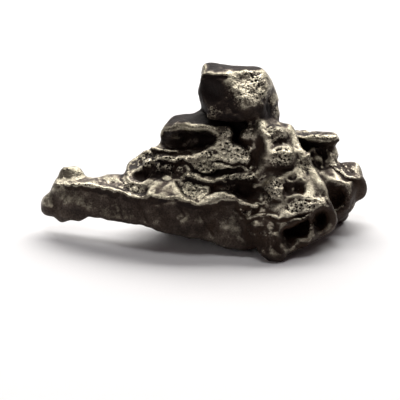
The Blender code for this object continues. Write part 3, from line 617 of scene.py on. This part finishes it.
# Dark patches: the oxide's own darkness, with painted shade laid in the hollows and the two cavities, under
# the block and the shelf, on the wall and on the tops of the block and the hood.
OXIDE_AND_PAINTED_SHADE = [
    (232, 65, 36, 3.5, -3, 1.3), (184, 117, 24, 7, 18, 1.3), (205, 122, 10, 3, -10, 0.8),
    (264, 110, 6, 9, 10, 0.8), (250, 115, 12, 6, 20, 0.4), (158, 170, 26, 8, 5, 0.3),
    (178, 166, 9, 5, 0, 0.4), (244, 192, 18, 8, -8, 0.3), (212, 91, 13, 19, 8, 1.5),
    (222, 100, 17, 13, 20, 0.7), (232, 172, 18, 2.5, 0, 0.9), (259, 150, 5, 15, -14, 0.7),
    (290, 188, 9, 7, 20, 0.7), (295, 232, 15, 15, 0, 0.8), (320, 220, 9, 14, 0, 0.8),
    (318, 152, 14, 8, -15, 0.5), (336, 200, 13, 15, 10, 0.8), (361, 188, 9, 12, 0, 1.4),
    (345, 168, 12, 6, -35, 0.6), (229, 121, 9, 5, 0, 1.2), (240, 145, 4, 10, 35, 0.6),
    (277, 246, 5, 11, 10, 0.8), (280, 171, 14, 3, 0, 0.6), (215, 218, 22, 14, 0, 0.3),
    (180, 113, 16, 5, 15, 0.3), (258, 240, 15, 18, 0, 0.6), (133, 170, 9, 11, 20, 0.4),
    (323, 190, 7, 16, -30, 0.3), (266, 229, 10, 15, 0, 0.8), (163, 191, 13, 7, 0, 0.25),
    (150, 195, 8, 5, 0, 0.2), (274, 244, 6, 10, 10, 0.5), (361, 166, 9, 8, 0, 0.4),
    (266, 141, 6, 20, -8, 0.5), (290, 222, 14, 4, -15, 0.9), (298, 243, 16, 5, -25, 0.9),
    (292, 187, 12, 10, 20, 0.4), (70, 202, 30, 14, 10, 0.1), (160, 216, 60, 14, 12, 0.15),
]
RUST = [
    (305, 200, 8, 9, 20, 1.0), (288, 224, 10, 4, 10, 0.5), (240, 156, 5, 4, 0, 0.4), (215, 188, 8, 4, 0, 0.5),
]


def store(name, values):
    layer = stone.data.attributes.new(name, "FLOAT", "POINT")
    layer.data.foreach_set("value", values.astype(np.float32))


def ray_spread():
    """Rays spread over half a ball, closer together towards its top."""
    spread = []
    for number in range(HOLLOW_RAYS):
        height = math.sqrt(1 - (number + 0.5) / HOLLOW_RAYS)
        around = number * GOLDEN_ANGLE
        ring = math.sqrt(1 - height * height)
        spread.append((ring * math.cos(around), ring * math.sin(around), height))
    return np.array(spread)


def shut_in(points, normals):
    """The share of rays from each point that meet the stone, the near ones counting most."""
    tree = skin_tree(points)
    spread = ray_spread()
    helper = np.where(np.abs(normals[:, 2:3]) < NEARLY_UPRIGHT, (0.0, 0.0, 1.0), (1.0, 0.0, 0.0))
    across = np.cross(normals, helper)
    across /= np.linalg.norm(across, axis=1)[:, None]
    other = np.cross(normals, across)
    starts = points + normals * HOLLOW_START
    hidden = np.zeros(len(points))
    for index in range(len(points)):
        start = Vector(starts[index])
        rays = spread @ np.stack((across[index], other[index], normals[index]))
        for ray in rays:
            distance = tree.ray_cast(start, Vector(ray), HOLLOW_REACH)[3]
            if distance is not None:
                hidden[index] += 1 - distance / HOLLOW_REACH
    return hidden / HOLLOW_RAYS


def stands_out_by(points, normals, edges, rounds):
    """How far each point stands out from the skin round it, in millimetres."""
    return np.einsum("ij,ij->i", points - spread_out(points, edges, rounds), normals)


def lip_highlight_and_shade(view):
    """The painted highlight over each lip, and the painted shade in a line under it."""
    over = np.zeros(len(view))
    under = np.zeros(len(view))
    for _, _, path in LIPS.values():
        distance, side, along = off_line(view[:, :2], from_pixels(path))
        inside = (along > 0) & (along < 1)
        over = np.maximum(over, inside * np.where(side > 0, hump(distance, 0, LIP_BAND), 0))
        under = np.maximum(under, inside * np.where(side < 0, hump(distance, LIP_LINE, LIP_LINE), 0))
    return over, under


def finish_marks():
    points = skin_points()
    normals = skin_normals()
    view = stirred_view(points)
    seen = seen_from_front(points, normals)
    elsewhere = 1 - seen
    edges = neighbours()
    clouds = clouds_of(points, CLOUD_SIZE, CLOUD_SHIFT)
    store("hollow", shut_in(points, normals))
    store("edge", stands_out_by(points, normals, edges, EDGE_ROUNDS) / EDGE_HEIGHT)
    store("bulge", stands_out_by(points, normals, edges, BULGE_ROUNDS) / BULGE_HEIGHT)
    store("pitted", where_pitted(points, view, seen))
    over, under = lip_highlight_and_shade(view)
    # Painted highlights over the lips and in the bright patches, and painted shade under the lips and in the
    # dark patches, are stored here with the rubbed metal and the oxide.
    rubbed_and_highlight = np.maximum(patches(view, BRIGHT_METAL_AND_PAINTED_HIGHLIGHTS), LIP_HIGHLIGHT_PAINT * over)
    store("rubbed_and_highlight", seen * rubbed_and_highlight + elsewhere * cloud_patches(-clouds, 1.5, 0.1))
    store("dark", seen * np.maximum(patches(view, OXIDE_AND_PAINTED_SHADE), LIP_SHADE_PAINT * under))
    store("rust", seen * patches(view, RUST) + elsewhere * cloud_patches(clouds, 3, -1.2) * RUST_ELSEWHERE)


finish_marks()
stone.data.shade_smooth()

# Nickel iron of a coarse iron meteorite, weathered and then brushed: silvery olive where it is rubbed, a
# brown-black skin of oxide in its hollows, and black pits of 0.15 to 0.35 mm where the oxide has eaten in.
# Light and shade are painted into it as well: faces that look up are painted lighter, level tops darker, and
# painted highlights and painted shade lie over the lips and in the bright and dark patches.
MATH = "ShaderNodeMath"
RANGE = "ShaderNodeMapRange"
MIX = "ShaderNodeMix"
NOISE = "ShaderNodeTexNoise"
CELLS = "ShaderNodeTexVoronoi"
VECTOR = "ShaderNodeVectorMath"
TIMES = {"operation": "MULTIPLY"}
PLUS = {"operation": "ADD"}
LESS = {"operation": "SUBTRACT"}
TIMES_PLUS = {"operation": "MULTIPLY_ADD"}
PLUS_HELD = {"operation": "ADD", "use_clamp": True}
LARGER = {"operation": "MAXIMUM"}
SOFT_STEP = {"interpolation_type": "SMOOTHSTEP"}
COLOURS = {"data_type": "RGBA"}
# How many of each pattern's grains or pits go to a metre, from how many go to a millimetre
BROAD = 0.13 / MM
CLOUDY = 0.42 / MM
LARGE_PITS = 1.7 / MM
FINE = 2.6 / MM
SMALL_PITS = 2.9 / MM
STIRRING = 3.0 / MM
SPECKS = 6.5 / MM
GRAINS = 7.0 / MM
PIT_STIR = 0.16 * MM
RELIEF = 0.12 * MM


def linear(code):
    """A colour written as sRGB hex, as the shader's own linear values."""
    parts = [int(code[at : at + 2], 16) / 255 for at in (0, 2, 4)]
    return tuple(p / 12.92 if p <= 0.04045 else ((p + 0.055) / 1.055) ** 2.4 for p in parts) + (1.0,)


def add_node(tree, kind, settings=None, output=0, **sockets):
    """A new node with its settings and its sockets, by number (as in_0) or by name, set or linked."""
    made = tree.nodes.new(kind)
    for name, value in (settings or {}).items():
        setattr(made, name, value)
    for name, value in sockets.items():
        key = int(name[3:]) if name.startswith("in_") else name.replace("_", " ")
        socket = made.inputs[key]
        if isinstance(value, bpy.types.NodeSocket):
            tree.links.new(value, socket)
        else:
            socket.default_value = value
    return made.outputs[output] if len(made.outputs) else None


OXIDE_DARK = linear("181110")
OXIDE_BROWN = linear("35281f")
RUST_BROWN = linear("5a3a22")
DULL_DARK = linear("3f3631")
DULL_LIGHT = linear("534a43")
SILVER_OLIVE = linear("9a9482")
SILVER_LIGHT = linear("c2bba8")
PIT_BLACK = linear("120d0b")

iron = bpy.data.materials.new("burnished_nickel_iron_with_painted_light")
iron.use_nodes = True
tree = iron.node_tree
tree.nodes.clear()

place = add_node(tree, "ShaderNodeTexCoord", output="Object")
fine = add_node(tree, NOISE, in_0=place, Scale=FINE, Detail=5.0, Roughness=0.65)
clouds = add_node(tree, NOISE, in_0=place, Scale=CLOUDY, Detail=4.0, Roughness=0.6)
broad = add_node(tree, NOISE, in_0=place, Scale=BROAD, Detail=3.0, Roughness=0.55)
stir = add_node(tree, NOISE, output="Color", in_0=place, Scale=STIRRING, Detail=2.0)
stirred = add_node(tree, VECTOR, TIMES_PLUS, in_0=stir, in_1=(PIT_STIR,) * 3, in_2=place)
specks = add_node(tree, NOISE, in_0=place, Scale=SPECKS, Detail=2.0, Roughness=0.6)
grain_cells = add_node(tree, CELLS, output="Color", in_0=place, Scale=GRAINS)
small_cells = add_node(tree, CELLS, output="Distance", in_0=stirred, Scale=SMALL_PITS)
large_cells = add_node(tree, CELLS, output="Distance", in_0=stirred, Scale=LARGE_PITS)
marks = {}
for name in ("hollow", "edge", "bulge", "pitted", "rubbed_and_highlight", "dark", "rust"):
    marks[name] = add_node(tree, "ShaderNodeAttribute", {"attribute_name": name}, output="Fac")

# Pits: small ones where the metal is eaten, larger ones where it is eaten most.
patchy = add_node(tree, MATH, TIMES_PLUS, in_0=clouds, in_1=1.2, in_2=-0.6)
eaten_more = add_node(tree, MATH, TIMES_PLUS, in_0=patchy, in_1=0.7, in_2=-0.12)
eaten = add_node(tree, MATH, PLUS_HELD, in_0=marks["pitted"], in_1=eaten_more)
small_chance = add_node(tree, MATH, PLUS, in_0=eaten, in_1=fine)
small_where = add_node(tree, RANGE, SOFT_STEP, in_0=small_chance, in_1=0.8, in_2=1.3)
small_hole = add_node(tree, RANGE, SOFT_STEP, in_0=small_cells, in_1=0.42, in_2=0.2)
small_pits = add_node(tree, MATH, TIMES, in_0=small_hole, in_1=small_where)
large_chance = add_node(tree, MATH, PLUS, in_0=eaten, in_1=clouds)
large_where = add_node(tree, RANGE, SOFT_STEP, in_0=large_chance, in_1=1.1, in_2=1.45)
large_hole = add_node(tree, RANGE, SOFT_STEP, in_0=large_cells, in_1=0.3, in_2=0.16)
large_pits = add_node(tree, MATH, TIMES, in_0=large_hole, in_1=large_where)
pits = add_node(tree, MATH, LARGER, in_0=small_pits, in_1=large_pits)

# How far the metal is rubbed bright, from 0 in a hollow to 1 on what stands out, with painted light mixed in:
# faces that look up are painted lighter, level tops are painted darker to hold back their sheen under the
# light from behind, and the bright and dark patches add painted highlights and painted shade.
shut = add_node(tree, RANGE, SOFT_STEP, in_0=marks["hollow"], in_1=0.12, in_2=0.5)
sharp = add_node(tree, RANGE, SOFT_STEP, in_0=marks["edge"], in_1=-0.4, in_2=1.2)
stands_out = add_node(tree, RANGE, SOFT_STEP, in_0=marks["bulge"], in_1=-0.6, in_2=0.9)
raised = add_node(tree, MATH, PLUS, in_0=sharp, in_1=stands_out)
crease = add_node(tree, RANGE, SOFT_STEP, in_0=marks["edge"], in_1=-0.3, in_2=-1.4)
normal = add_node(tree, "ShaderNodeNewGeometry", output="Normal")
up = add_node(tree, "ShaderNodeSeparateXYZ", output="Z", in_0=normal)
# Painted light: faces that look up are painted lighter, and level tops are painted darker to hold back their
# sheen under the light from behind.
facing_up_painted_light = add_node(tree, RANGE, SOFT_STEP, in_0=up, in_1=-0.12, in_2=0.7)
level = add_node(tree, RANGE, SOFT_STEP, in_0=up, in_1=0.87, in_2=0.99)
fine_grain = add_node(tree, MATH, LESS, in_0=fine, in_1=0.5)
speck_grain = add_node(tree, MATH, TIMES_PLUS, in_0=specks, in_1=1.6, in_2=-0.8)
cell_grain = add_node(tree, MATH, TIMES_PLUS, in_0=grain_cells, in_1=0.36, in_2=-0.18)
grain = add_node(tree, MATH, PLUS, in_0=fine_grain, in_1=speck_grain)
grain = add_node(tree, MATH, PLUS, in_0=grain, in_1=cell_grain)
grain_share = add_node(tree, MATH, TIMES_PLUS, in_0=eaten, in_1=1.45, in_2=0.2)
raised_share = add_node(tree, MATH, TIMES_PLUS, in_0=facing_up_painted_light, in_1=0.22, in_2=0.12)
rubbed_and_painted_light = add_node(tree, MATH, TIMES, in_0=raised, in_1=raised_share)
RUBBED_AND_PAINTED_LIGHT_BY = [
    (facing_up_painted_light, 0.35), (level, -0.6), (marks["rubbed_and_highlight"], 0.4), (patchy, 0.22), (grain, grain_share),
    (shut, -0.55), (marks["dark"], -0.7), (crease, -0.6),
]
for cause, share in RUBBED_AND_PAINTED_LIGHT_BY:
    rubbed_and_painted_light = add_node(tree, MATH, TIMES_PLUS, in_0=cause, in_1=share, in_2=rubbed_and_painted_light)
rubbed_and_painted_light = add_node(tree, RANGE, in_0=rubbed_and_painted_light, in_1=-0.15, in_2=1.0)
whole = add_node(tree, MATH, TIMES_PLUS, in_0=pits, in_1=-0.95, in_2=1.0)
rubbed_and_painted_light = add_node(tree, MATH, TIMES, in_0=rubbed_and_painted_light, in_1=whole)

# Colours, from the oxide up to the rubbed metal, chosen by the mix of rubbing and painted light above.
broad_share = add_node(tree, RANGE, SOFT_STEP, in_0=broad, in_1=0.35, in_2=0.65)
cloud_share = add_node(tree, RANGE, SOFT_STEP, in_0=clouds, in_1=0.3, in_2=0.7)
rust_share = add_node(tree, MATH, TIMES, in_0=marks["rust"], in_1=cloud_share)
oxide = add_node(tree, MIX, COLOURS, output=2, in_0=broad_share, in_6=OXIDE_DARK, in_7=OXIDE_BROWN)
oxide = add_node(tree, MIX, COLOURS, output=2, in_0=rust_share, in_6=oxide, in_7=RUST_BROWN)
dull = add_node(tree, MIX, COLOURS, output=2, in_0=cloud_share, in_6=DULL_DARK, in_7=DULL_LIGHT)
silver = add_node(tree, MIX, COLOURS, output=2, in_0=broad_share, in_6=SILVER_OLIVE, in_7=SILVER_LIGHT)
dull_share = add_node(tree, RANGE, SOFT_STEP, in_0=rubbed_and_painted_light, in_1=0.0, in_2=0.42)
silver_share = add_node(tree, RANGE, SOFT_STEP, in_0=rubbed_and_painted_light, in_1=0.3, in_2=0.8)
metal = add_node(tree, MIX, COLOURS, output=2, in_0=dull_share, in_6=oxide, in_7=dull)
metal = add_node(tree, MIX, COLOURS, output=2, in_0=silver_share, in_6=metal, in_7=silver)
metal = add_node(tree, MIX, COLOURS, output=2, in_0=pits, in_6=metal, in_7=PIT_BLACK)
speckle = add_node(tree, MATH, LESS, in_0=grain_cells, in_1=0.5)
speckle_share = add_node(tree, MATH, TIMES_PLUS, in_0=eaten, in_1=1.1, in_2=0.75)
speckle = add_node(tree, MATH, TIMES, in_0=speckle, in_1=speckle_share)
speckle = add_node(tree, MATH, PLUS, in_0=speckle, in_1=1.0)
metal = add_node(tree, VECTOR, {"operation": "SCALE"}, in_0=metal, Scale=speckle)

# Gloss and relief: the oxide is a dull crust, the rubbed metal a soft satin with a fine tooth.
metallic = add_node(tree, RANGE, SOFT_STEP, in_0=rubbed_and_painted_light, in_1=0.0, in_2=0.4, in_3=0.1, in_4=1.0)
rough = add_node(tree, MATH, TIMES_PLUS, in_0=rubbed_and_painted_light, in_1=-0.32, in_2=0.5)
for cause, share in ((fine, 0.2), (pits, 0.3)):
    rough = add_node(tree, MATH, TIMES_PLUS, in_0=cause, in_1=share, in_2=rough)
height = add_node(tree, MATH, TIMES, in_0=pits, in_1=-1.0)
for cause, share in ((fine, 0.5), (specks, 0.7), (clouds, 1.0)):
    height = add_node(tree, MATH, TIMES_PLUS, in_0=cause, in_1=share, in_2=height)
relief = add_node(tree, "ShaderNodeBump", Strength=0.8, Distance=RELIEF, Height=height)
surface = add_node(tree, "ShaderNodeBsdfPrincipled", Base_Color=metal, Metallic=metallic, Roughness=rough,
                   Specular_IOR_Level=0.12, Normal=relief)
add_node(tree, "ShaderNodeOutputMaterial", Surface=surface)
stone.data.materials.append(iron)

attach(stone, "root")
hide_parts("meteorite")

# The table: plain white card, matt, a square plane laid flat under the stone and running on far behind it,
# lit until it is white but for the stone's soft shadow.
TABLE_SIZE = 3.0
TABLE_MIDDLE = (0, 0.6, 0)
CARD_WHITE = linear("f1f2f5")
CARD_ROUGHNESS = 0.9

bpy.ops.object.select_all(action="DESELECT")
bpy.ops.mesh.primitive_plane_add(size=TABLE_SIZE, location=TABLE_MIDDLE)
table = bpy.context.object
table.name = "table"
bpy.ops.object.transform_apply(location=True, rotation=True, scale=True)
card = bpy.data.materials.new("matt_white_card")
card.use_nodes = True
card.node_tree.nodes["Principled BSDF"].inputs["Base Color"].default_value = CARD_WHITE
card.node_tree.nodes["Principled BSDF"].inputs["Roughness"].default_value = CARD_ROUGHNESS
table.data.materials.append(card)

# Light: a large soft box behind, above and a little to the right, a small one overhead, a weak one in
# front at the left, all aimed at the stone, in a dim room of rose light. Each box has its place and sides
# in metres, its power in watts and its tint.
SOFT_BOXES = {
    "behind": ((0.05, 0.4, 0.38), (0.7, 0.34), 5.7, (1.0, 0.97, 0.93)),
    "overhead": ((-0.04, 0.0, 0.5), (0.2, 0.2), 0.55, (1.0, 0.99, 0.97)),
    "front": ((-0.35, -0.55, 0.3), (0.25, 0.25), 0.4, (1.0, 0.97, 0.95)),
}
ROOM_ROSE = linear("e8c6ca")
ROOM_STRENGTH = 0.06

for name, (spot, sides, power, tint) in SOFT_BOXES.items():
    bpy.ops.object.light_add(type="AREA", location=spot)
    lamp = bpy.context.object
    lamp.name = name
    lamp.data.shape = "RECTANGLE"
    lamp.data.size = sides[0]
    lamp.data.size_y = sides[1]
    lamp.data.energy = power
    lamp.data.color = tint
    lamp.rotation_mode = "QUATERNION"
    lamp.rotation_quaternion = Vector(spot).to_track_quat("Z", "Y")
room = bpy.data.worlds.new("room")
room.use_nodes = True
room.node_tree.nodes["Background"].inputs["Color"].default_value = ROOM_ROSE
room.node_tree.nodes["Background"].inputs["Strength"].default_value = ROOM_STRENGTH
scene.world = room
scene.view_settings.view_transform = "Standard"

# The camera: 20 degrees above the table, far enough off for a long lens, whose picture is as wide at the
# stone as the photograph's 400 pixels.
CAMERA_DISTANCE = 0.6
SENSOR_WIDTH = 36.0
PICTURE_WIDTH = 0.04 * SCALE
NEAREST_SEEN = 0.01

aim = VIEW_ZERO * MM
bpy.ops.object.camera_add(location=tuple(aim + NEAR * CAMERA_DISTANCE))
camera = bpy.context.object
camera.rotation_mode = "QUATERNION"
camera.rotation_quaternion = Vector(NEAR).to_track_quat("Z", "Y")
camera.data.sensor_width = SENSOR_WIDTH
camera.data.lens = SENSOR_WIDTH * CAMERA_DISTANCE / PICTURE_WIDTH
camera.data.clip_start = NEAREST_SEEN
scene.camera = camera
